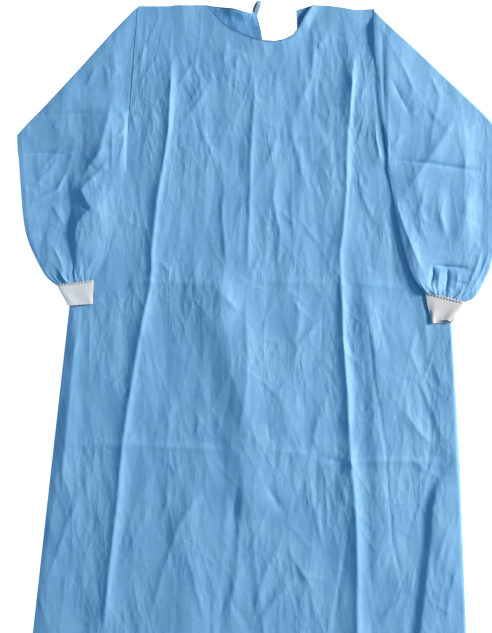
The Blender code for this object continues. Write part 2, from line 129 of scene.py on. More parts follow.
def oneCrease(across, down, line, below, above, power):
    # Share of a crease's height at each point: 1 on the line, fading to both sides and ends.
    # The sides are left and right of a line that runs down, below and above of one that runs right.
    best = np.full(len(across), 1e9)
    side = np.zeros(len(across))
    along = np.zeros(len(across))
    done = 0.0
    for start, end in zip(line, line[1:]):
        run = end - start
        length = math.hypot(run[0], run[1])
        offAcross = across - start[0]
        offDown = down - start[1]
        share = np.clip((offAcross * run[0] + offDown * run[1]) / length ** 2, 0.0, 1.0)
        away = np.hypot(offAcross - share * run[0], offDown - share * run[1])
        closer = away < best
        best = np.where(closer, away, best)
        side = np.where(closer, offAcross * run[1] - offDown * run[0], side)
        along = np.where(closer, done + share * length, along)
        done += length
    fade = min(creaseLook["endShare"] * done, creaseLook["endLength"])
    ends = softStep(along, 0.0, fade) * (1 - softStep(along, done - fade, done))
    width = np.where(side < 0, below, above)
    return np.exp(-((best / width) ** power)) * ends


def creaseField(across, down, rows, power=1.3, strength=1.0):
    height = np.zeros(across.shape)
    for top, below, above, *points in rows:
        line = np.array(points, float).reshape(-1, 2)
        reach = creaseLook["cutOff"] * max(below, above)
        low = line.min(axis=0) - reach
        high = line.max(axis=0) + reach
        near = (across > low[0]) & (across < high[0]) & (down > low[1]) & (down < high[1])
        if near.any():
            share = oneCrease(across[near], down[near], line, below, above, power)
            height[near] += strength * top * share
    return height


def starRows(stars):
    # Short creases of uneven length that run out from where packing folds cross.
    look = starLook
    rows = []
    for across, down, reach, count, top in stars:
        for index in range(count):
            wave = math.sin(look["turnWave"] * index + across)
            turn = 2 * math.pi * (index + look["turnShare"] * wave) / count
            wave = math.sin(look["reachWave"] * index + down)
            far = reach * (look["reachShare"] + look["reachSwing"] * wave)
            points = []
            for step in (-look["behind"] * far, far):
                points += [across + step * math.cos(turn), down + step * math.sin(turn)]
            sign = 1 if index % look["hollowEach"] else look["hollow"]
            rows.append((sign * top, *look["widths"], *points))
    return rows


def strayRows(seed, box, count, heading, spread, length, top, width):
    # Slight creases strewn over the cloth, the same on each run.
    look = strayLook
    random = np.random.default_rng(seed)
    rows = []
    for _ in range(count):
        across = random.uniform(box[0], box[2])
        down = random.uniform(box[1], box[3])
        turn = math.radians(random.normal(heading, spread))
        half = 0.5 * length * random.lognormal(0.0, look["lengthSpread"])
        high = top * random.uniform(*look["heights"])
        high *= 1 if random.random() < look["ridges"] else look["hollow"]
        bend = random.normal(0.0, look["bend"]) * half
        left = width * random.uniform(*look["leftWidths"])
        right = width * random.uniform(*look["rightWidths"])
        stepAcross, stepDown = half * math.cos(turn), half * math.sin(turn)
        rows.append((
            high, left, right, across - stepAcross, down - stepDown,
            across - bend * math.sin(turn), down + bend * math.cos(turn),
            across + stepAcross, down + stepDown,
        ))
    return rows


def placed(across, down, height):
    # Points of the gown in metres.
    across, down, height = np.broadcast_arrays(across, down, height)
    return np.stack([across * mm, (gownMiddle - down) * mm, height * mm], axis=-1)


def finished(name, mesh, material):
    mesh.update()
    mesh.shade_smooth()
    mesh.materials.append(material)
    piece = bpy.data.objects.new(name, mesh)
    bpy.context.scene.collection.objects.link(piece)
    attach(piece, "root")
    return piece


def gridPiece(name, points, closed, material):
    rows, columns = points.shape[:2]
    index = np.arange(rows * columns).reshape(rows, columns)
    if closed:
        index = np.concatenate([index, index[:, :1]], axis=1)
    corners = (index[:-1, :-1], index[1:, :-1], index[1:, 1:], index[:-1, 1:])
    quads = np.stack(corners, axis=-1).reshape(-1, 4)
    mesh = bpy.data.meshes.new(name)
    mesh.from_pydata(points.reshape(-1, 3).tolist(), [], quads.tolist())
    return finished(name, mesh, material)


def threadPiece(name, paths, radius, material):
    # Many short threads as one mesh: each path is a run of points in metres.
    sides = 5
    angles = [2 * math.pi * turn / sides for turn in range(sides)]
    points = []
    faces = []
    for path in paths:
        path = np.asarray(path, float)
        run = np.gradient(path, axis=0)
        run /= np.linalg.norm(run, axis=1)[:, None] + 1e-12
        side = np.cross(run, (0.0, 0.0, 1.0))
        side /= np.linalg.norm(side, axis=1)[:, None] + 1e-12
        over = np.cross(side, run)
        first = len(points)
        for spot, out, up in zip(path, side, over):
            for angle in angles:
                points.append(spot + radius * (math.cos(angle) * out + math.sin(angle) * up))
        last = len(points) - sides
        for start in range(first, last, sides):
            for turn in range(sides):
                a = start + turn
                b = start + (turn + 1) % sides
                faces.append((a, b, b + sides, a + sides))
        faces.append(tuple(reversed(range(first, first + sides))))
        faces.append(tuple(range(last, last + sides)))
    mesh = bpy.data.meshes.new(name)
    mesh.from_pydata([tuple(p) for p in points], [], faces)
    return finished(name, mesh, material)


def newGroup(name, inputs, outputs):
    tree = bpy.data.node_groups.new(name, "ShaderNodeTree")
    for label, kind, value in inputs:
        socket = tree.interface.new_socket(label, in_out="INPUT", socket_type=kind)
        socket.default_value = value
    for label, kind in outputs:
        tree.interface.new_socket(label, in_out="OUTPUT", socket_type=kind)
    start = tree.nodes.new("NodeGroupInput")
    end = tree.nodes.new("NodeGroupOutput")
    return tree, start, end


def noiseNode(tree, vector, scale, detail, roughness=0.5):
    node = tree.nodes.new("ShaderNodeTexNoise")
    node.inputs["Scale"].default_value = scale
    node.inputs["Detail"].default_value = detail
    node.inputs["Roughness"].default_value = roughness
    tree.links.new(vector, node.inputs["Vector"])
    return node.outputs["Fac"]


def mathNode(tree, operation, first, second=0.0, third=0.0):
    node = tree.nodes.new("ShaderNodeMath")
    node.operation = operation
    for socket, value in zip(node.inputs, (first, second, third)):
        if isinstance(value, (int, float)):
            socket.default_value = value
        else:
            tree.links.new(value, socket)
    return node.outputs[0]


def rangeNode(tree, value, low, high, first, last):
    node = tree.nodes.new("ShaderNodeMapRange")
    node.interpolation_type = "SMOOTHSTEP"
    for socket, number in zip(node.inputs[1:5], (low, high, first, last)):
        socket.default_value = number
    tree.links.new(value, node.inputs["Value"])
    return node.outputs["Result"]


def mixColour(tree, share, first, second):
    node = tree.nodes.new("ShaderNodeMix")
    node.data_type = "RGBA"
    tree.links.new(share, node.inputs[0])
    for socket, value in ((node.inputs[6], first), (node.inputs[7], second)):
        if isinstance(value, tuple):
            socket.default_value = value
        else:
            tree.links.new(value, socket)
    return node.outputs[2]


def stretched(tree, vector, scale, turn=0.0):
    node = tree.nodes.new("ShaderNodeMapping")
    node.inputs["Scale"].default_value = scale
    node.inputs["Rotation"].default_value = (0.0, 0.0, turn)
    tree.links.new(vector, node.inputs["Vector"])
    return node.outputs["Vector"]


webLook = {
    "lipWidth": 0.0015, "streakHeight": 0.0002, "grainHeight": 0.00004, "bondDepth": 0.00005,
    "coarse": ((0.30, 0.06, 12.0, 0.062, 0.00013), (0.36, -0.30, 19.0, -0.062, 0.00012)),
    "fine": ((0.32, 0.24, 36.0, 0.068, 0.00009), (0.40, -0.12, 72.0, -0.066, 0.00006)),
}


def facets(tree, place, row, patch):
    # Flat facets between straight creases, as in crisp cloth that was pressed in a packet,
    # with a thin lip along some of the creases.
    stretch, turn, scale, slope, lip = row
    node = tree.nodes.new("ShaderNodeTexVoronoi")
    node.feature = "DISTANCE_TO_EDGE"
    node.voronoi_dimensions = "2D"
    node.inputs["Scale"].default_value = scale
    tree.links.new(stretched(tree, place, (1.0, stretch, 1.0), turn), node.inputs["Vector"])
    away = node.outputs["Distance"]
    lips = rangeNode(tree, away, 0.0, webLook["lipWidth"] * scale, lip, 0.0)
    lips = mathNode(tree, "MULTIPLY", lips, patch)
    return mathNode(tree, "MULTIPLY_ADD", away, slope / scale, lips)


def makeCloudGroup():
    # Uneven density of the fibre web, as a mask round 0.5.
    tree, start, end = newGroup(
        "webDensity", [("Place", "NodeSocketVector", (0, 0, 0))], [("Mask", "NodeSocketFloat")]
    )
    place = start.outputs["Place"]
    wide = noiseNode(tree, place, 9.0, 3.0, 0.55)
    fine = noiseNode(tree, place, 140.0, 4.0, 0.62)
    total = mathNode(tree, "MULTIPLY_ADD", wide, 0.6, mathNode(tree, "MULTIPLY", fine, 0.4))
    tree.links.new(rangeNode(tree, total, 0.32, 0.68, 0.0, 1.0), end.inputs["Mask"])
    return tree


def makeBondGroup():
    # The small point bonds that hold the web together, 1.5 mm apart on a slant.
    tree, start, end = newGroup(
        "pointBonds", [("Place", "NodeSocketVector", (0, 0, 0))], [("Mask", "NodeSocketFloat")]
    )
    place = stretched(tree, start.outputs["Place"], (1.0, 0.62, 1.0), 0.78)
    dots = tree.nodes.new("ShaderNodeTexVoronoi")
    dots.voronoi_dimensions = "2D"
    dots.inputs["Scale"].default_value = 660.0
    dots.inputs["Randomness"].default_value = 0.06
    tree.links.new(place, dots.inputs["Vector"])
    mask = rangeNode(tree, dots.outputs["Distance"], 0.16, 0.36, 1.0, 0.0)
    tree.links.new(mask, end.inputs["Mask"])
    return tree


def makeCrumpleGroup():
    # Fine creases of the crisp web: facets at four sizes and fibre grain, in metres.
    tree, start, end = newGroup(
        "crispCreases",
        [
            ("Place", "NodeSocketVector", (0, 0, 0)),
            ("Bonds", "NodeSocketFloat", 0.0),
            ("Depth", "NodeSocketFloat", 1.0),
        ],
        [("Height", "NodeSocketFloat")],
    )
    place = start.outputs["Place"]
    patch = rangeNode(tree, noiseNode(tree, place, 8.0, 1.0), 0.42, 0.62, 0.0, 1.0)
    other = rangeNode(tree, noiseNode(tree, place, 11.0, 1.0), 0.44, 0.58, 1.0, 0.0)
    coarse, fine = (
        mathNode(tree, "ADD", facets(tree, place, first, other), facets(tree, place, second, patch))
        for first, second in (webLook["coarse"], webLook["fine"])
    )
    broken = mathNode(tree, "MULTIPLY_ADD", patch, 0.8, 0.2)
    height = mathNode(tree, "MULTIPLY_ADD", fine, broken, coarse)
    height = mathNode(tree, "MULTIPLY", height, start.outputs["Depth"])
    streaks = noiseNode(tree, stretched(tree, place, (1.0, 0.05, 1.0)), 420.0, 3.0, 0.7)
    grain = noiseNode(tree, place, 900.0, 3.0, 0.6)
    for value, depth in (
        (streaks, webLook["streakHeight"]), (grain, webLook["grainHeight"]),
        (start.outputs["Bonds"], -webLook["bondDepth"]),
    ):
        height = mathNode(tree, "MULTIPLY_ADD", value, depth, height)
    tree.links.new(height, end.inputs["Height"])
    return tree


groups = {"cloud": makeCloudGroup(), "bonds": makeBondGroup(), "crumple": makeCrumpleGroup()}


def useGroup(tree, group, links):
    node = tree.nodes.new("ShaderNodeGroup")
    node.node_tree = group
    for label, value in links:
        if isinstance(value, (int, float)):
            node.inputs[label].default_value = value
        else:
            tree.links.new(value, node.inputs[label])
    return node


def newMaterial(name):
    material = bpy.data.materials.new(name)
    material.use_nodes = True
    return material, material.node_tree, material.node_tree.nodes["Principled BSDF"]


def addBump(tree, shader, height, distance=1.0):
    bump = tree.nodes.new("ShaderNodeBump")
    bump.inputs["Distance"].default_value = distance
    tree.links.new(height, bump.inputs["Height"])
    tree.links.new(bump.outputs["Normal"], shader.inputs["Normal"])


def dimmed(colour, share):
    return tuple(share * part for part in colour[:3]) + (1.0,)


def clothMaterial(name, light, dark, depth, inner=None):
    # The inner side of the cloth, where it shows, leans to a darker blue: partly its own colour,
    # partly painted shade.
    material, tree, shader = newMaterial(name)
    place = tree.nodes.new("ShaderNodeTexCoord").outputs["Object"]
    cloud = useGroup(tree, groups["cloud"], [("Place", place)]).outputs["Mask"]
    bonds = useGroup(tree, groups["bonds"], [("Place", place)]).outputs["Mask"]
    links = [("Place", place), ("Bonds", bonds), ("Depth", depth)]
    height = useGroup(tree, groups["crumple"], links).outputs["Height"]
    colour = mixColour(tree, cloud, dark, light)
    colour = mixColour(tree, mathNode(tree, "MULTIPLY", bonds, 0.35), colour, dimmed(dark, 0.9))
    if inner:
        innerColourAndShade, innerShare = inner
        outer = tree.nodes.new("ShaderNodeNewGeometry").outputs["Backfacing"]
        share = mathNode(tree, "MULTIPLY_ADD", outer, -innerShare, innerShare)
        colour = mixColour(tree, share, colour, innerColourAndShade)
    tree.links.new(colour, shader.inputs["Base Color"])
    rough = mathNode(tree, "MULTIPLY_ADD", bonds, -0.14, 0.62)
    tree.links.new(rough, shader.inputs["Roughness"])
    addBump(tree, shader, height)
    shader.inputs["Specular IOR Level"].default_value = 0.32
    shader.inputs["Sheen Weight"].default_value = 0.12
    shader.inputs["Sheen Roughness"].default_value = 0.45
    return material


knitLook = {
    "ribs": 74, "loops": 30, "ribHeight": 0.0001, "loopHeight": 0.00009, "fuzzHeight": 0.00012,
}


def knitMaterial(name, light, dark):
    # Fine rib knit that runs along its piece's own coordinates.
    material, tree, shader = newMaterial(name)
    coordinates = tree.nodes.new("ShaderNodeTexCoord")
    place = coordinates.outputs["Object"]
    parts = tree.nodes.new("ShaderNodeSeparateXYZ")
    tree.links.new(coordinates.outputs["UV"], parts.inputs["Vector"])
    waves = []
    for axis, count in (("X", knitLook["ribs"]), ("Y", knitLook["loops"])):
        turns = mathNode(tree, "MULTIPLY", parts.outputs[axis], 2 * math.pi * count)
        waves.append(mathNode(tree, "MULTIPLY_ADD", mathNode(tree, "SINE", turns), 0.5, 0.5))
    rib, loop = waves
    fuzz = noiseNode(tree, place, 700.0, 3.0, 0.6)
    height = mathNode(tree, "MULTIPLY", rib, knitLook["ribHeight"])
    height = mathNode(tree, "MULTIPLY_ADD", loop, knitLook["loopHeight"], height)
    height = mathNode(tree, "MULTIPLY_ADD", fuzz, knitLook["fuzzHeight"], height)
    cloud = useGroup(tree, groups["cloud"], [("Place", place)]).outputs["Mask"]
    # Rib grooves are painted darker than rib tops, which is painted shade, mixed with random tone
    # of the yarn.
    shade = mathNode(tree, "MULTIPLY_ADD", rib, 0.2, 0.35)
    shade = mathNode(tree, "MULTIPLY_ADD", cloud, 0.35, shade)
    tree.links.new(mixColour(tree, shade, dark, light), shader.inputs["Base Color"])
    tree.links.new(mathNode(tree, "MULTIPLY_ADD", fuzz, 0.1, 0.85), shader.inputs["Roughness"])
    addBump(tree, shader, height)
    shader.inputs["Specular IOR Level"].default_value = 0.2
    shader.inputs["Sheen Weight"].default_value = 0.2
    return material


def threadMaterial(name, colour):
    material, tree, shader = newMaterial(name)
    place = tree.nodes.new("ShaderNodeTexCoord").outputs["Object"]
    twist = noiseNode(tree, place, 1400.0, 2.0)
    share = rangeNode(tree, twist, 0.35, 0.65, 0.0, 1.0)
    shades = mixColour(tree, share, dimmed(colour, 0.72), colour)
    tree.links.new(shades, shader.inputs["Base Color"])
    tree.links.new(mathNode(tree, "MULTIPLY_ADD", twist, 0.2, 0.5), shader.inputs["Roughness"])
    addBump(tree, shader, twist, 0.0001)
    return material


clothLight = (0.184, 0.415, 0.672, 1.0)
clothDark = (0.143, 0.355, 0.614, 1.0)
# A darker blue for the inner side of the back panels: partly its own colour, partly painted shade.
innerToneAndShade = (0.050, 0.240, 0.500, 1.0)
frontCloth = clothMaterial("frontCloth", clothLight, clothDark, 1.0)
backCloth = clothMaterial("backCloth", clothLight, clothDark, 1.2, (innerToneAndShade, 0.6))
sleeveCloth = clothMaterial("sleeveCloth", clothLight, clothDark, 0.9)
edgeCloth = clothMaterial("edgeCloth", clothLight, clothDark, 0.15)
tabCloth = clothMaterial("tabCloth", (0.36, 0.53, 0.74, 1.0), (0.29, 0.46, 0.69, 1.0), 0.1)
# A near-black copy of the cloth for the tab's left face: painted shade.
tabPaintedShade = clothMaterial("tabPaintedShade", (0.060, 0.105, 0.150, 1.0), (0.045, 0.080, 0.120, 1.0), 0.1)
cuffKnit = knitMaterial("cuffKnit", (0.73, 0.75, 0.76, 1.0), (0.63, 0.65, 0.66, 1.0))
# A darker copy of the cuff knit for the right cuff: painted shade on the same yarn.
cuffKnitPaintedShade = knitMaterial("cuffKnitPaintedShade", (0.60, 0.61, 0.62, 1.0), (0.46, 0.47, 0.48, 1.0))
blueThread = threadMaterial("blueThread", (0.030, 0.085, 0.150, 1.0))
whiteThread = threadMaterial("whiteThread", (0.82, 0.83, 0.85, 1.0))
print("materials made")


# Front panel.
front = {
    "rows": 380,
    "topRows": 64,
    "shares": {"left": 0.19, "centre": 0.46, "right": 0.72},
    "columns": 262,
    "base": 2.3,
    "edgeHeight": 1.55,
    "lowest": 1.5,
    "edgeDrop": {"left": 7.0, "right": 2.5},
    "edgeFrom": (300.0, 330.0),
    "seams": {
        "left": ((0, 0.5), (60, 0.6), (200, 0.4), (285, 0.3), (322, 0)),
        "right": (
            (0, 1), (20, 1.6), (40, 9), (76, 6.6), (98, 3.6), (122, 1.8), (285, 1.4), (322, 0),
        ),
    },
    "seamSwells": {
        "left": ((0, 0), (322, 0)),
        "right": ((60, 0), (115, 4.6), (240, 5.6), (290, 2.8), (330, 0)),
    },
    "seamReach": {"left": 12.0, "right": 2.2},
    "seamPower": 1.15,
    "swellReach": 58.0,
    "swellPower": 1.8,
    "neckLift": 4.5,
    "neckLiftReach": 70.0,
    "neckHalfWidth": 105.0,
    "neckMiddle": 8.0,
    "neckFolds": (
        (4.8, 10, 9, 106, -12, 101, 4, 90, 24, 78, 50), (-3, 5, 7, 124, 2, 110, 22, 92, 52),
        (1.6, 4, 5, 101, 34, 104, 60, 105, 104, 101, 137),
    ),
    "folds": (
        (4, 12, 7, -165, 86, -165, 142, -171, 243, -181, 308, -192, 370, -202, 471, -203, 528,
         -219, 598, -234, 680, -248, 770, -257, 832, -267, 946, -286, 1106, -295, 1206),
        (2.3, 8, 9, -10, 108, -7, 175, -12, 238, -15, 304, -16, 370, -19, 446, -21, 528),
        (1.8, 10, 16, -23, 538, -25, 580, -21, 646, -21, 712, -29, 770, -42, 836),
        (3.3, 14, 6, 185, 80, 180, 118, 174, 213, 170, 243, 168, 346, 161, 433, 155, 471, 158,
         542, 161, 631, 170, 745, 174, 859),
        (2.2, 10, 5, 158, 513, 161, 560, 161, 631, 170, 745, 174, 859),
        (5.6, 17, 10, 172, 808, 176, 868, 182, 922, 186, 978, 188, 1054, 188, 1130, 189, 1206,
         189, 1320),
        (2, 12, 12, 195, 522, 201, 560, 210, 608, 220, 652, 227, 694),
        (1.6, 14, 9, 243, 300, 251, 345, 259, 392, 264, 420, 270, 447, 276, 470, 282, 497, 288,
         514, 297, 531, 308, 550, 316, 590, 320, 640, 321, 700),
        (1.8, 10, 6, 220, 209, 224, 256, 231, 294, 239, 317),
        (2.2, 9, 12, -339, 583, -354, 694, -363, 802, -377, 940),
    ),
    "swells": (
        (9.5, 44, 58, -75, 477, -73, 560, -69, 608, -56, 656, -40, 703, -31, 750, -25, 826, -21,
         902, -20, 988),
        (5, 20, 60, 195, 504, 205, 580, 216, 656, 222, 750, 226, 864, 227, 978, 227, 1130),
        (4.4, 30, 5, 378, 855, 381, 978, 387, 1092, 393, 1244),
        (5.6, 32, 5, 364, 580, 370, 712, 374, 826, 378, 922),
        (1.6, 6, 30, -346, 560, -356, 656, -365, 750, -384, 902, -403, 1054, -419, 1226),
        (9, 10, 44, 364, 868, 357, 887, 345, 910, 338, 935, 332, 963, 329, 1007, 322, 1074, 315,
         1136, 309, 1193, 303, 1320),
        (3, 24, 105, 191, -66, 186, 10, 182, 86, 178, 162, 174, 247),
        (4.2, 26, 44, -105, 826, -130, 922, -139, 1016, -143, 1130, -145, 1282),
        (4.6, 54, 34, -90, 488, -80, 542, -71, 598, -56, 656),
        (2.6, 30, 30, 79, 532, 72, 618, 60, 750, 51, 846),
    ),
    "creases": (
        (1.6, 7, 9, 60, 213, 70, 270, 85, 308), (-1.6, 5, 5, 108, 200, 127, 238, 120, 256),
        (1.4, 6, 9, 129, 42, 121, 66, 115, 95), (1.2, 6, 8, -117, 99, -141, 135, -162, 167),
        (1.2, 6, 8, -101, 142, -120, 171, -135, 194), (1.5, 6, 8, -86, 137, -115, 186, -154, 238),
        (2.2, 6, 10, -60, 332, -70, 384, -65, 446, -60, 517),
        (1.2, 5, 7, 35, 251, 26, 279, 18, 308), (2.2, 6, 9, 37, 294, 28, 370, 41, 433, 35, 517),
        (1.4, 6, 8, 9, 460, -6, 496, -20, 528), (0.9, 5, 7, 64, 262, 92, 346, 111, 371),
        (0.7, 5, 7, 117, 294, 142, 352), (1.3, 5, 7, 180, 319, 197, 346, 212, 370),
        (1.5, 5, 8, 188, 338, 205, 380, 226, 422), (1.2, 5, 7, 41, 384, 56, 405, 74, 422),
        (1.6, 5, 7, -192, 479, -200, 517), (1.4, 6, 6, -192, 479, -162, 517),
        (1.8, 8, 11, 101, 17, 104, 57, 104, 104, 101, 137, 82, 180, 66, 222),
        (1, 6, 8, -35, 86, -46, 124), (1, 6, 8, -35, 86, -18, 120),
        (-1.3, 2.8, 6, 174, 978, 162, 1050, 152, 1110, 142, 1200),
        (1.6, 7, 9, -276, 542, -282, 598, -306, 642), (1.5, 6, 8, -329, 859, -325, 922, -316, 984),
        (1.5, 6, 8, -325, 908, -363, 984, -386, 1054, -409, 1117),
        (1.2, 5, 7, -286, 878, -278, 935), (2.2, 12, 14, -69, 538, -58, 560, -35, 583),
        (1.8, 7, 9, 60, 542, 79, 585, 75, 618, 66, 650),
        (1.8, 7, 9, 142, 580, 110, 608, 79, 642, 68, 678, 60, 712), (-1.4, 4, 4, 17, 788, 22, 832),
        (1.2, 5, 7, -111, 775, -120, 826), (1.2, 5, 7, -73, 775, -78, 832),
        (1.4, 5, 7, 117, 764, 104, 821, 117, 859), (1.8, 7, 10, 269, 756, 302, 808, 340, 846),
        (1.6, 6, 9, 294, 694, 332, 775, 351, 832), (1.5, 6, 8, 302, 604, 288, 661, 313, 718),
        (1.4, 6, 8, 326, 661, 351, 737), (1.3, 6, 8, -173, 870, -173, 940, -181, 978),
        (1.9, 7, 10, -97, 897, -120, 940, -149, 984, -181, 1074, -211, 1188),
        (-2, 6, 6, -39, 889, -48, 978, -54, 1054, -78, 1197),
        (1.8, 7, 12, -25, 899, -35, 978, -39, 1064, -61, 1197),
        (2.2, 7, 14, -145, 1003, -111, 1136, -97, 1197), (-2.2, 8, 8, 9, 902, 32, 940, 55, 978),
        (-1.6, 6, 6, 98, 878, 79, 925, 58, 977),
        (1.8, 7, 9, 56, 984, 60, 1041, 85, 1083, 112, 1125),
        (1.6, 6, 8, 98, 897, 104, 946, 127, 1049), (1.6, 6, 8, 150, 884, 170, 960),
        (1.8, 7, 9, 79, 1074, 51, 1108, 28, 1136, -10, 1193),
        (1.6, 6, 8, 55, 1003, 17, 1068, -1, 1130, -16, 1191),
        (1.6, 6, 8, 283, 1117, 254, 1146, 226, 1174), (1.8, 6, 9, 370, 965, 351, 1016, 332, 1074),
        (1.8, 6, 9, 383, 1041, 364, 1115, 351, 1193),
        (-1.3, 3.5, 3.5, 197, 542, 212, 631, 218, 707, 231, 770, 241, 840, 246, 908, 254, 1011,
         269, 1087, 279, 1125),
        (1.4, 5, 7, 298, 538, 338, 534),
    ),
    "crossCreases": (
        (1, 8, 6, -206, 245, -111, 245, -10, 246), (0.9, 8, 6, 7, 243, 98, 249, 165, 247),
        (2, 12, 7, -270, 528, -206, 526, -111, 528, -29, 528),
        (1.9, 12, 7, -16, 524, 79, 526, 161, 526), (2.4, 9, 6, 161, 526, 222, 532, 283, 536),
        (1.9, 10, 7, -382, 834, -320, 834, -249, 834, -149, 840, -35, 847),
        (1.6, 10, 7, 7, 844, 79, 851, 117, 859), (2, 8, 6, 161, 868, 269, 866, 368, 870),
        (-1.8, 5, 5, 113, 859, 138, 864, 163, 868),
    ),
    # Stars: across, down, reach, count and height.
    "stars": (
        (-240, 207, 38, 7, 1), (-278, 441, 34, 6, 0.9), (161, 526, 46, 8, 1.5),
        (174, 864, 46, 9, 1.6), (321, 884, 57, 8, 1.6), (-329, 836, 38, 7, 1.1),
        (-35, 86, 30, 5, 1), (-10, 245, 30, 6, 0.7), (-18, 528, 42, 8, 1.2), (-248, 834, 34, 6, 1),
        (-168, 245, 30, 6, 0.8), (174, 245, 34, 6, 0.8), (-202, 526, 38, 7, 1),
        (-39, 846, 42, 7, 1),
    ),
    # Stray creases: seed, area, count, heading, spread, length, height and width.
    "stray": (
        (11, (-230, 60, 230, 330), 150, 88, 17, 80, 0.44, 2.5),
        (12, (-360, 330, 370, 860), 170, 88, 18, 95, 0.42, 2.6),
        (13, (-420, 860, 400, 1240), 150, 90, 18, 105, 0.45, 2.7),
        (14, (-240, 20, 230, 300), 50, 50, 40, 45, 0.45, 2.8),
        (15, (-370, 330, 380, 1240), 75, 55, 24, 62, 0.55, 2.8),
        (16, (-370, 330, 380, 1240), 75, 122, 22, 62, 0.55, 2.8),
    ),
}
frontStray = [row for kind in front["stray"] for row in strayRows(*kind)]
# Each kind of crease, how pointed it is and how strong.
frontLayers = (
    (front["folds"], 1.0, 1.9), (front["swells"], 1.9, 1.0), (front["creases"], 1.05, 1.5),
    (front["crossCreases"], 1.1, 1.3), (starRows(front["stars"]), 1.2, 0.6),
    (frontStray, 1.3, 1.35),
)


def neckRise(across, down):
    below = down - between(frontTop, across)
    sideways = crest(across - front["neckMiddle"], front["neckHalfWidth"])
    lift = front["neckLift"] * sideways * (1 - softStep(below, 0.0, front["neckLiftReach"]))
    return lift + creaseField(across, down, front["neckFolds"])


def seamTop(side, down):
    return between(front["seams"][side], down) + between(front["seamSwells"][side], down)


def frontHeight(across, down):
    # The front's face over the back halves, without its edges.
    height = neckRise(across, down)
    for rows, power, strength in frontLayers:
        height += creaseField(across, down, rows, power, strength)
    for name, edge in (("left", leftEdge), ("right", rightEdge)):
        away = np.abs(across - between(edge, down))
        seam = np.exp(-((away / front["seamReach"][name]) ** front["seamPower"]))
        swell = np.exp(-((away / front["swellReach"]) ** front["swellPower"]))
        height += between(front["seams"][name], down) * seam
        height += between(front["seamSwells"][name], down) * swell
    return np.maximum(front["base"] + height, front["lowest"])


def rowsDown(top, rows):
    # Rows start on the top edge and are straight from the blend depth on.
    rows = rows[:, None]
    return np.where(rows < neckBlend, top + rows * (1 - top / neckBlend), rows)


def frontPlaces():
    upper = np.linspace(0, neckBlend, front["topRows"], endpoint=False)
    lower = np.linspace(neckBlend, gownLength, front["rows"] - front["topRows"])
    rows = np.concatenate([upper, lower])
    shares = np.linspace(0, 1, front["columns"])
    anchors = [0.0, *front["shares"].values(), 1.0]
    places = [between(leftEdge, rows)]
    places += [between(creaseLines[name], rows) for name in front["shares"]]
    places.append(between(rightEdge, rows))
    table = np.stack(places, axis=1)
    across = np.stack([np.interp(shares, anchors, line) for line in table])
    down = rowsDown(between(frontTop, across[0])[None, :], rows)
    return across, down


def frontSurface(across, down):
    height = frontHeight(across, down)
    fromLeft = (across - between(leftEdge, down)) / front["edgeDrop"]["left"]
    fromRight = (between(rightEdge, down) - across) / front["edgeDrop"]["right"]
    drop = 1 - roundEdge(np.minimum(fromLeft, fromRight), 1.0)
    drop *= softStep(down, *front["edgeFrom"])
    return height + (front["edgeHeight"] - height) * drop


across, down = frontPlaces()
points = placed(across, down, frontSurface(across, down))
frontPiece = gridPiece("frontSheet", points, False, frontCloth)
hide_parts("front_panel")
print("front made")

# Back halves.
backs = {
    "left": {
        "node": "back_panel_left", "edge": leftEdge, "seed": 21,
        "middle": ((0, -2.5), (32, 4.5), (62, 9.5), (1240, -22)),
        "top": (
            (-229, 2), (-170, 2), (-158, 0), (-97, 0), (-63, 5), (-46, 8), (-29, 13), (-2.5, 18),
        ),
    },
    "right": {
        "node": "back_panel_right", "edge": rightEdge, "seed": 22,
        "middle": ((0, 72.5), (44, 74), (1240, 42)),
        "top": ((72.5, 10), (88, 5), (103, 0), (132, 1), (162, 5), (184, 10), (220, 8)),
    },
}
backLook = {
    "rows": 250, "rowPower": 1.25, "columns": 66, "base": 0.55, "lowest": 0.12, "highest": 1.2,
    "edgeHeight": 1.35, "edgeDrop": 6.0, "share": 0.35, "power": 1.2,
    "stray": ((-430, 0, 400, 1240), 150, 84, 32, 80, 0.5, 5.0),
    "hump": {"across": -44.0, "left": 36.0, "right": 50.0, "reach": 20.0, "height": 8.0},
    "lip": (2.4, 9, 16, -60, 4, -52, 24, -40, 44, -30, 60),
}


def backHeight(side, across, down):
    # Weaker creases than on the front, and a hump under the left neck corner.
    height = creaseField(across, down, strayRows(backs[side]["seed"], *backLook["stray"]))
    for kind in ("folds", "crossCreases"):
        height += backLook["share"] * creaseField(across, down, front[kind], backLook["power"])
    height = np.clip(backLook["base"] + height, backLook["lowest"], backLook["highest"])
    if side == "left":
        hump = backLook["hump"]
        below = down - between(backs["left"]["top"], across)
        away = across - hump["across"]
        sideways = crest(away, np.where(away < 0, hump["left"], hump["right"]))
        height = height + hump["height"] * sideways * (1 - softStep(below, 0.0, hump["reach"]))
        height = height + creaseField(across, down, [backLook["lip"]])
    return height


for side, back in backs.items():
    rows = np.linspace(0, 1, backLook["rows"]) ** backLook["rowPower"] * gownLength
    start = between(back["edge"], rows)[:, None]
    end = between(back["middle"], rows)[:, None]
    shares = np.linspace(0, 1, backLook["columns"])[None, :]
    across = start + (end - start) * shares
    top = between(back["top"], across[0])
    down = rowsDown(top[None, :], rows)
    share = roundEdge(np.abs(across - start), backLook["edgeDrop"])
    height = backHeight(side, across, down)
    height = backLook["edgeHeight"] + (height - backLook["edgeHeight"]) * share
    points = placed(across, down, height)
    if side == "right":
        points = points[:, ::-1]
    piece = gridPiece("backSheet" + side.title(), points, False, backCloth)
    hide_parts(back["node"])
print("backs made")

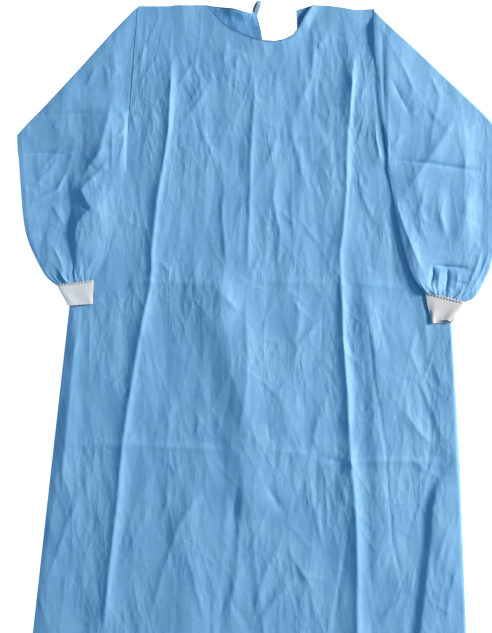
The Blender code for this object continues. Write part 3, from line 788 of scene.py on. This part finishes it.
# Sleeves: outer across, outer down, inner across, inner down of each section. The puff is
# how far a sleeve stands up along its length, the shape is its share from outer to inner side.
sleeves = {
    "left": {
        "sections": (
            (-229.4, 2.5, -253.2, 317), (-280, 54, -256, 332), (-345, 126, -260, 352),
            (-417, 203, -263.5, 372), (-459.2, 247, -267, 392), (-455.5, 296, -271, 411),
            (-451.5, 352, -276.5, 430), (-447.5, 400, -282, 450), (-441, 438, -287, 470),
            (-427, 474, -293.5, 489), (-405, 514, -303, 508), (-382, 534, -312.5, 525),
        ),
        "puff": (
            (0, 0.6), (0.1, 3), (0.3, 6), (0.5, 9), (0.75, 10.5), (0.9, 9), (0.96, 6.6), (1, 4.8),
        ),
        "innerLift": ((0, 0), (0.7, 0.5), (0.9, 1.5), (1, 0)),
        "shape": (
            (0, 0.9), (0.06, 1), (0.47, 0.2), (0.55, 0.22), (0.88, 1), (0.95, 0.85), (1, 0.4),
        ),
        "outerReach": 3.5, "innerReach": 46.0, "innerPower": 1.6, "innerRoot": 1.0,
        "edge": leftEdge, "outwards": -1, "groove": 0.5, "seed": 31, "area": (-455, 20, -250, 520),
        "folds": (
            (7.6, 42, 22, -274, 160, -284, 212, -296, 262, -310, 322),
            (5.6, 14, 24, -306, 310, -335, 352, -318, 388, -341, 412, -348, 435, -349, 475, -349,
             500, -348, 536),
            (-2.6, 22, 8, -346, 234, -358, 291, -365, 342, -358, 408, -352, 466, -350, 534),
            (-2, 4, 4, -354, 418, -350, 466, -350, 534),
            (2.2, 4, 4, -346, 234, -354, 276, -365, 319, -382, 352, -415, 367, -453, 370),
            (-2.4, 3, 3, -457, 283, -363, 281, -301, 270, -232, 262),
            (-1.8, 3, 3, -428, 211, -358, 207, -278, 205),
            (1.2, 5, 6, -371, 281, -400, 317, -434, 352),
            (1.2, 4, 6, -362, 256, -396, 294, -422, 329),
            (1.3, 4, 6, -276, 80, -272, 124, -282, 148),
            (1.2, 4, 6, -306, 110, -318, 137, -329, 162), (1.2, 4, 6, -291, 110, -282, 167),
            (1.2, 4, 6, -396, 370, -381, 397, -363, 431),
            (1.4, 4, 6, -276, 211, -278, 308, -286, 332),
            (2.8, 8, 8, -289, 268, -305, 287, -320, 306, -335, 331),
            (2.2, 7, 8, -282, 294, -301, 317, -324, 340, -339, 355),
            (1.3, 4, 6, -268, 352, -276, 399, -286, 446),
            (1.6, 4, 6, -251, 352, -263, 399, -270, 437),
            (1.8, 5, 5, -270, 439, -293, 488, -312, 526),
            (1.5, 4, 5, -396, 446, -377, 484, -363, 524), (1.4, 3.4, 4, -335, 488, -341, 528),
            (1.6, 4, 5, -301, 466, -324, 504, -333, 528),
            (1.5, 4, 5, -282, 452, -305, 494, -320, 528),
            (0.8, 4, 7, -246, 165, -249, 203, -257, 241),
            (1.2, 4, 6, -249, 222, -261, 245, -278, 256),
            (1.1, 4, 6, -249, 234, -259, 272, -265, 310),
            (1, 4, 6, -248, 215, -261, 203, -278, 196),
        ),
    },
    "right": {
        "sections": (
            (220.4, 8.5, 244.2, 310), (272, 57, 247.5, 327), (336, 118, 251, 345),
            (400, 178, 255, 368), (457.5, 236, 259, 392), (457, 304, 264, 420),
            (455.5, 370, 270, 447), (452.5, 437, 276, 470), (444, 490, 283.5, 497),
            (431, 523, 290.5, 514), (412, 555, 301, 531), (390.5, 566, 315, 547.5),
        ),
        "puff": (
            (0, 0.6), (0.1, 3), (0.3, 4.5), (0.5, 5.5), (0.75, 6.5), (0.9, 7), (0.96, 6.2),
            (1, 4.8),
        ),
        "innerLift": ((0, 0), (0.3, 1.6), (0.45, 3.8), (0.6, 5.4), (0.92, 5.8), (1, 4)),
        "shape": ((0, 0.9), (0.06, 0.95), (0.3, 1), (0.93, 0.75), (1, 0.35)),
        "outerReach": 4.0, "innerReach": 3.2, "innerPower": 2.0, "innerRoot": 0.5,
        "edge": rightEdge, "outwards": 1, "groove": 2.1, "seed": 32, "area": (245, 20, 460, 545),
        "folds": (
            (1.3, 9, 26, 243, 25, 245, 104, 246, 180, 246, 256, 248, 317),
            (-1.3, 3.2, 3.2, 233, 19, 235, 76, 236, 118, 238, 180, 242, 230),
            (-1.4, 4, 4, 246, 129, 269, 175, 294, 218), (1.3, 4, 6, 326, 129, 345, 180),
            (1.2, 4, 6, 269, 104, 292, 158, 284, 196), (1.2, 4, 6, 345, 165, 334, 218, 322, 276),
            (4.6, 24, 30, 387, 180, 349, 256, 311, 310, 265, 380),
            (-2.6, 3, 3, 250, 294, 313, 300, 379, 310, 444, 319), (1.3, 5, 6, 275, 243, 250, 276),
            (1.6, 10, 20, 298, 370, 307, 418, 326, 466),
            (-3.4, 3.2, 3.4, 328, 494, 364, 498, 402, 500),
            (-3.4, 3.4, 3.4, 330, 490, 332, 513, 324, 538),
            (-3.2, 3.4, 3.4, 359, 496, 359, 522, 353, 549), (-1.2, 3.2, 3.2, 366, 526, 398, 530),
            (1.8, 4, 5, 345, 500, 341, 522, 338, 549), (1.8, 4, 6, 429, 446, 417, 488, 389, 555),
            (1.4, 3.6, 4, 440, 466, 421, 513, 395, 555),
            (1.2, 3.4, 4, 379, 500, 376, 526, 370, 553),
            (2.4, 9, 9, 258, 332, 265, 390, 281, 437, 302, 488, 322, 532),
            (2.4, 18, 22, 402, 344, 391, 412, 376, 475), (1.3, 5, 7, 317, 332, 307, 390, 322, 437),
            (1.3, 5, 7, 355, 352, 345, 399, 355, 446), (1.6, 14, 18, 345, 342, 341, 390, 357, 446),
        ),
    },
}
sleeveLook = {
    "rings": 214, "points": 126, "crowding": 0.11, "corner": 4, "cornerWidth": 0.9,
    "levelReach": 36.0, "dropReach": 70.0, "bodyHeight": 2.7, "liftReach": 34.0,
    "outerPower": 1.7, "bendShare": 0.16, "tuck": 2.4, "tuckShare": 0.02, "tuckHeight": 1.25,
    "sunkShare": 0.06, "sunkDepth": 0.45, "seamShare": 0.26, "grooveReach": 3.2,
    "wristFrom": (0.8, 0.98), "foldsEnd": (0.955, 1.0), "foldPower": 1.1, "foldStrength": 1.6,
    "stray": (95, 80, 34, 60, 0.6, 3.6), "slack": (60, 75, 45, 60, 0.5, 5.0),
    "slackRange": (-0.1, 0.6), "floorGap": 0.15, "startGap": 0.4, "leastGap": 0.3,
    "layerGap": 0.25,
}
pleatLook = {
    "count": 17, "spots": (0.05, 0.95), "widths": (0.010, 0.024), "reaches": (0.35, 1.0),
    "lean": 0.5, "heights": (0.5, 1.3), "power": 1.2, "from": 0.77, "full": 0.97, "top": 2.1,
    "pressed": 0.85, "pressedFrom": (0.965, 1.0),
}


def bodyShare(sleeve, across, down):
    # 1 where the sleeve lies on the body, 0 where it lies on the floor.
    edge = between(sleeve["edge"], np.maximum(down, underarmEnd))
    beside = (across - edge) * sleeve["outwards"]
    past = np.maximum(beside, armholeEnd - down)
    return 1 - softStep(past, sleeveLook["levelReach"], sleeveLook["dropReach"])


def gathers(seed, t, share):
    # Uneven pleats that run out from the wrist seam, pressed flatter right at it.
    look = pleatLook
    random = np.random.default_rng(seed)
    total = np.zeros(np.broadcast_shapes(t.shape, share.shape))
    for _ in range(look["count"]):
        spot = random.uniform(*look["spots"])
        wide = random.uniform(*look["widths"])
        start = 1 - (1 - look["from"]) * random.uniform(*look["reaches"])
        lean = random.normal(0.0, look["lean"])
        away = np.abs(t - spot - lean * (1 - share))
        grown = softStep(share, start, look["full"])
        pleat = np.exp(-((away / (wide * (2 - grown))) ** look["power"]))
        total += random.uniform(*look["heights"]) * pleat * grown
    return look["top"] * total * (1 - look["pressed"] * softStep(share, *look["pressedFrom"]))


def sleeveSections(sleeve, share):
    # A smooth outline, apart from the corner at the elbow.
    rows = sleeve["sections"]
    last = len(rows) - 1
    section = smoothTable(rows, share)
    away = (share * last - sleeveLook["corner"]) / sleeveLook["cornerWidth"]
    for column in (0, 1):
        straight = np.interp(share * last, range(last + 1), [row[column] for row in rows])
        section[:, column] += (straight - section[:, column]) * np.exp(-(away ** 2))
    return section


def sleevePoints(side, sleeve):
    look = sleeveLook
    share = np.linspace(0, 1, look["rings"])[:, None]
    section = sleeveSections(sleeve, share[:, 0])
    even = np.linspace(0, 1, look["points"])[None, :]
    t = even - look["crowding"] * np.sin(2 * np.pi * even)
    outer = section[:, None, 0:2]
    inner = section[:, None, 2:4]
    spots = outer + (inner - outer) * t[..., None]
    down = spots[..., 1]
    width = np.linalg.norm(inner - outer, axis=-1)
    # The armhole follows the curve of the front's edge.
    straight = np.interp(down, (0, armholeEnd), between(sleeve["edge"], (0, armholeEnd)))
    bend = np.where(down < armholeEnd, between(sleeve["edge"], down) - straight, 0.0)
    across = spots[..., 0] + bend * (1 - softStep(share, 0.0, look["bendShare"]))
    outerPart = np.clip(t * width / sleeve["outerReach"], 0.0, 1.0)
    innerPart = np.clip((1 - t) * width / sleeve["innerReach"], 0.0, 1.0)
    rounding = (1 - (1 - innerPart) ** sleeve["innerPower"]) ** sleeve["innerRoot"]
    rounding = (1 - (1 - outerPart) ** look["outerPower"]) * rounding
    lift = between(sleeve["innerLift"], share)
    lift = lift * np.exp(-(((1 - t) * width / look["liftReach"]) ** 2))
    under = look["bodyHeight"] * bodyShare(sleeve, across, down) + look["floorGap"] + lift
    wristPart = softStep(share, *look["wristFrom"])
    puff = between(sleeve["puff"], share)
    dome = between(sleeve["shape"], t) * (1 - wristPart) + wristPart
    # Folds fade out at the armhole and at the wrist, where the pleats take over.
    tucked = 1 - softStep(share, 0.0, look["tuckShare"])
    fade = (1 - tucked) * (1 - softStep(share, *look["foldsEnd"]))
    stray = strayRows(sleeve["seed"], sleeve["area"], *look["stray"])
    folds = creaseField(across, down, sleeve["folds"], look["foldPower"], look["foldStrength"])
    folds = (folds + creaseField(across, down, stray)) * fade
    folds += gathers(sleeve["seed"] + 10, t, share)
    seam = seamTop(side, down) * (1 - softStep(share, 0.0, look["seamShare"]))
    top = under + look["startGap"] + rounding * (puff * dome + folds + seam)
    top = np.maximum(top, under + look["leastGap"])
    slack = strayRows(sleeve["seed"] + 20, sleeve["area"], *look["slack"])
    slack = creaseField(across, down, slack)
    below = np.minimum(under + np.clip(slack, *look["slackRange"]) * fade, top - look["layerGap"])
    half = 0.5 * (below + top)
    lower = np.stack([across, down, half + (below - half) * rounding], axis=-1)
    upper = np.stack([across, down, half + (top - half) * rounding], axis=-1)
    # The armhole end is tucked under the edge of the front.
    sunk = 1 - softStep(share, 0.0, look["sunkShare"])
    hidden = seamTop(side, down) + front["base"] - look["sunkDepth"]
    for layer, height, part in ((lower, look["tuckHeight"], tucked), (upper, hidden, sunk)):
        layer[..., 0] -= sleeve["outwards"] * look["tuck"] * tucked
        layer[..., 2] = layer[..., 2] * (1 - part) + height * part
    # The seam pulls a narrow groove along the edge of the front.
    beside = np.maximum((across - between(sleeve["edge"], down)) * sleeve["outwards"], 0.0)
    groove = sleeve["groove"] * np.exp(-((beside / look["grooveReach"]) ** 2)) * sunk
    upper[..., 2] = np.maximum(upper[..., 2] - groove, lower[..., 2] + look["layerGap"])
    return np.concatenate([lower[:, :-1], upper[:, :0:-1]], axis=1)


for side, sleeve in sleeves.items():
    ring = sleevePoints(side, sleeve)
    if side == "right":
        ring = ring[:, ::-1]
    points = placed(ring[..., 0], ring[..., 1], ring[..., 2])
    piece = gridPiece("sleeveSheet" + side.title(), points, True, sleeveCloth)
    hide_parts("sleeve_" + side)
print("sleeves made")

# Cuffs: across and down of the outer and inner corner, at the wrist and at the hand.
cuffs = {
    "left": {
        "corners": ((-382, 532), (-312.8, 523), (-361, 571.5), (-314.5, 568)),
        "knit": cuffKnit, "under": 3.2, "outerRise": 1.4, "mouth": 0.0, "wobble": 0.25,
    },
    "right": {
        "corners": ((390.5, 564), (315.2, 545.5), (365.5, 604), (328.5, 605)),
        # The right cuff takes the darker knit copy: painted shade.
        "knit": cuffKnitPaintedShade, "under": 5.6, "outerRise": 1.6, "mouth": 0.13, "wobble": 1.3,
    },
}
cuffLook = {
    "rings": 40, "points": 120, "height": 5.0, "flatPower": 0.75, "risePower": 0.5,
    "mouthMiddle": -0.25, "mouthReach": 0.5, "mouthFrom": 0.15, "narrowing": 0.012,
    "narrowWave": (9, 2.0), "wobbleWave": (5, 5), "wobbleFrom": (0.1, 0.9),
    "outerFrom": (-1.0, -0.1),
}


def cuffFoot(cuff, flat):
    # How high the cuff's lower layer lies, from -1 at its outer side to 1 at its inner side.
    return cuff["under"] + cuff["outerRise"] * (1 - softStep(flat, *cuffLook["outerFrom"]))


def signedPower(value, power):
    return np.sign(value) * np.abs(value) ** power


def layCoordinates(piece, rings, count):
    # Round the cuff and along it, from 0 to 1 each.
    layer = piece.data.uv_layers.new(name="knit")
    values = []
    for polygon in piece.data.polygons:
        rounds = [index % count for index in polygon.vertices]
        wraps = max(rounds) - min(rounds) > count / 2
        for index, turn in zip(polygon.vertices, rounds):
            turn = turn + count if wraps and turn < count / 2 else turn
            values += [turn / count, (index // count) / (rings - 1)]
    layer.data.foreach_set("uv", values)


for side, cuff in cuffs.items():
    look = cuffLook
    wristOuter, wristInner, handOuter, handInner = np.array(cuff["corners"], float)
    share = np.linspace(0, 1, look["rings"])[:, None, None]
    angle = np.linspace(0, 2 * np.pi, look["points"], endpoint=False)[None, :, None]
    mouth = np.exp(-(((np.cos(angle) - look["mouthMiddle"]) / look["mouthReach"]) ** 2))
    share = share * (1 - cuff["mouth"] * mouth * (np.sin(angle) > look["mouthFrom"]))
    outer = wristOuter + (handOuter - wristOuter) * share
    inner = wristInner + (handInner - wristInner) * share
    flat = signedPower(np.cos(angle), look["flatPower"])
    rise = signedPower(np.sin(angle), look["risePower"])
    pace, start = look["narrowWave"]
    wave = 1 - look["narrowing"] * np.sin(pace * share + start)
    spots = 0.5 * (outer + inner) + 0.5 * (inner - outer) * flat * wave
    around, along = look["wobbleWave"]
    bulge = np.sin(around * angle + along * share) * softStep(share, *look["wobbleFrom"])
    height = cuffFoot(cuff, flat) + 0.5 * look["height"] * (1 + rise)
    height = height + cuff["wobble"] * bulge * (rise > 0)
    points = placed(spots[..., 0], spots[..., 1], height[..., 0])
    if side == "right":
        points = points[:, ::-1]
    piece = gridPiece("cuffSheet" + side.title(), points, True, cuff["knit"])
    layCoordinates(piece, look["rings"], look["points"])
    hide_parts("cuff_" + side)
print("cuffs made")


# Narrow bindings on the neck edges: how far in from the edge, and how high over the panel.
binding = {
    "profile": ((0.3, -0.4), (0.0, -0.1), (0.1, 0.06), (1.2, 0.15), (4.4, 0.12), (5.6, 0.02)),
    "stitch": ((-0.3, 0.1), (0.5, 0.4), (1.4, 0.4), (2.6, 0.4)),
    "seam": (0.5, 0.25), "pointStep": 1.6, "least": 0.4, "thread": 0.0003,
}


def overEdge(path, inwards, surface, step, lift):
    # Points beside a path along an edge, on the panel that it borders.
    spot = path + inwards * step
    on = path + inwards * max(step, binding["least"])
    return placed(spot[:, 0], spot[:, 1], surface(on[:, 0], on[:, 1]) + lift)


def bindingPiece(name, path, inwards, surface, nodeName):
    # A rounded strip that wraps the edge and lies on the panel inside it.
    rows = [overEdge(path, inwards, surface, *place) for place in binding["profile"]]
    piece = gridPiece(name, np.stack(rows), False, edgeCloth)
    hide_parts(nodeName)
    return piece


def backSurface(side):
    return lambda across, down: backHeight(side, across, down)


leftTop, rightTop = backs["left"]["top"], backs["right"]["top"]
strips = (
    ("neckEdgeFront", frontTop, -98, 104, frontSurface, "neck_binding_front"),
    ("neckEdgeBackLeft", leftTop, -80, -20, backSurface("left"), "neck_binding_back_left"),
    ("neckEdgeBackRight", rightTop, 72.5, 90, backSurface("right"), "neck_binding_back_right"),
)
stitches = []
for name, table, start, end, surface, nodeName in strips:
    across = np.arange(start, end, binding["pointStep"])
    path = np.stack([across, between(table, across)], axis=1)
    run = np.gradient(path, axis=0)
    run /= np.linalg.norm(run, axis=1)[:, None]
    inwards = np.stack([-run[:, 1], run[:, 0]], axis=1)
    bindingPiece(name, path, inwards, surface, nodeName)
    steps = [overEdge(path, inwards, surface, *place) for place in binding["stitch"]]
    stitches += [[row[index] for row in steps] for index in range(1, len(path) - 1, 2)]
    stitches.append(overEdge(path, inwards, surface, *binding["seam"]))
neckThreads = threadPiece("neckStitches", stitches, binding["thread"], blueThread)

# The pale closing tab at the left back's neck corner: across, down, height and half width.
tab = {
    "sections": (
        (-4, 40, 0, 2.5), (-5, 30, 0.2, 4), (-6.5, 18, 1, 5), (-4, 8, 5.6, 6.5),
        (-1, 0, 10, 6), (2, -5, 13, 4.5),
    ),
    "rows": 40, "columns": 17, "crease": 3.0, "creaseFrom": (8.0, 10.0), "ridge": -0.2,
    "leftTop": 1.5, "leftFoot": -0.5, "gap": 0.35, "shaded": 6, "edgeRow": 19,
}
section = smoothTable(tab["sections"], np.linspace(0, 1, tab["rows"]))
columns = np.linspace(-1, 1, tab["columns"])[None, :]
crease = tab["crease"] * softStep(section[:, 2:3], *tab["creaseFrom"])
leftSide = (columns + 1) / (1 + tab["ridge"]) * tab["leftTop"] + tab["leftFoot"]
tent = np.where(columns < tab["ridge"], leftSide, (1 - columns) / (1 - tab["ridge"]))
tabAcross = section[:, 0:1] + columns * section[:, 3:4]
tabDown = section[:, 1:2] + 0 * columns
resting = backHeight("left", tabAcross, tabDown) + tab["gap"]
points = placed(tabAcross, tabDown, np.maximum(section[:, 2:3] + crease * tent, resting))
tabPiece = gridPiece("tabSheet", points[::-1], False, tabCloth)
tabPiece.data.materials.append(tabPaintedShade)
tabPiece.data.materials.append(edgeCloth)
# The tab's left columns take the near-black copy of its cloth, painted shade on the steep left
# face; rows past the edge row take the panel's cloth.
for polygon in tabPiece.data.polygons:
    row, column = divmod(polygon.index, tab["columns"] - 1)
    polygon.material_index = 2 if row > tab["edgeRow"] else int(column < tab["shaded"])
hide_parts("neck_tab")
print("neck made")

# Threads: white overlock loops where the sleeves meet the cuffs.
overlock = {
    "steps": 120, "perLoop": 10, "margin": 0.02, "start": -1.4, "length": 4.2, "over": 1.5,
    "thread": 0.0008,
}
loops = []
for cuff in cuffs.values():
    wristOuter, wristInner, handOuter, handInner = np.array(cuff["corners"], float)
    drop = (handOuter - wristOuter) / np.linalg.norm(handOuter - wristOuter)
    run = []
    for index in range(overlock["steps"] + 1):
        share = overlock["margin"] + (1 - 2 * overlock["margin"]) * index / overlock["steps"]
        wave = abs(math.sin(math.pi * index / overlock["perLoop"]))
        bow = overlock["start"] + overlock["length"] * wave
        spot = wristOuter + (wristInner - wristOuter) * share + drop * bow
        flat = 2 * share - 1
        rise = 0.5 + 0.5 * math.sqrt(max(1 - flat ** 4, 0.0))
        high = cuffFoot(cuff, flat) + cuffLook["height"] * rise + overlock["over"]
        run.append(placed(spot[0], spot[1], high))
    loops.append(run)
cuffThreads = threadPiece("cuffStitches", loops, overlock["thread"], whiteThread)
print("threads made")

# Floor, light and camera.
stage = {
    "floor": 4.0,
    "floorTop": -0.0004,
    "floorColour": (0.66, 0.66, 0.66, 1.0),
    "floorRoughness": 0.9,
    "keyPlace": (3.95, 1.2, 1.88),
    "keyPower": 402.0,
    "keyColour": (1.0, 0.84, 0.71),
    "keySize": 1.05,
    "fill": (0.33, 0.66, 0.93, 1.0),
    "fillPower": 0.49,
    "floorGlow": 0.9,
    "viewHeight": 1.2027,
    "viewMiddle": (-0.0234, 0.0256),
    "lens": 70.0,
    "sensor": 36.0,
    "clothHeight": 0.003,
}


def makeFloor():
    half = stage["floor"] / 2
    mesh = bpy.data.meshes.new("floor")
    signs = ((-1, -1), (1, -1), (1, 1), (-1, 1))
    corners = [(x * half, y * half, stage["floorTop"]) for x, y in signs]
    mesh.from_pydata(corners, [], [(0, 1, 2, 3)])
    floor = bpy.data.objects.new("floor", mesh)
    bpy.context.scene.collection.objects.link(floor)
    material, _, shader = newMaterial("floorWhite")
    shader.inputs["Base Color"].default_value = stage["floorColour"]
    shader.inputs["Roughness"].default_value = stage["floorRoughness"]
    shader.inputs["Specular IOR Level"].default_value = 0.0
    shader.inputs["Emission Color"].default_value = (1.0, 1.0, 1.0, 1.0)
    shader.inputs["Emission Strength"].default_value = stage["floorGlow"]
    mesh.materials.append(material)


def makeLight():
    key = bpy.data.lights.new("keyLight", "AREA")
    key.energy = stage["keyPower"]
    key.color = stage["keyColour"]
    key.size = stage["keySize"]
    lamp = bpy.data.objects.new("keyLight", key)
    lamp.location = stage["keyPlace"]
    lamp.rotation_euler = Vector(stage["keyPlace"]).to_track_quat("Z", "Y").to_euler()
    bpy.context.scene.collection.objects.link(lamp)
    world = bpy.data.worlds.new("softFill")
    world.use_nodes = True
    sky = world.node_tree.nodes["Background"]
    sky.inputs["Color"].default_value = stage["fill"]
    sky.inputs["Strength"].default_value = stage["fillPower"]
    bpy.context.scene.world = world


def makeCamera():
    camera = bpy.data.cameras.new("camera")
    camera.lens = stage["lens"]
    camera.sensor_width = stage["sensor"]
    away = stage["viewHeight"] / 2 / (stage["sensor"] / 2 / stage["lens"])
    eye = bpy.data.objects.new("camera", camera)
    eye.location = (*stage["viewMiddle"], stage["clothHeight"] + away)
    bpy.context.scene.collection.objects.link(eye)
    bpy.context.scene.camera = eye


makeFloor()
makeLight()
makeCamera()
bpy.context.scene.view_settings.view_transform = "Standard"
print("stage set")
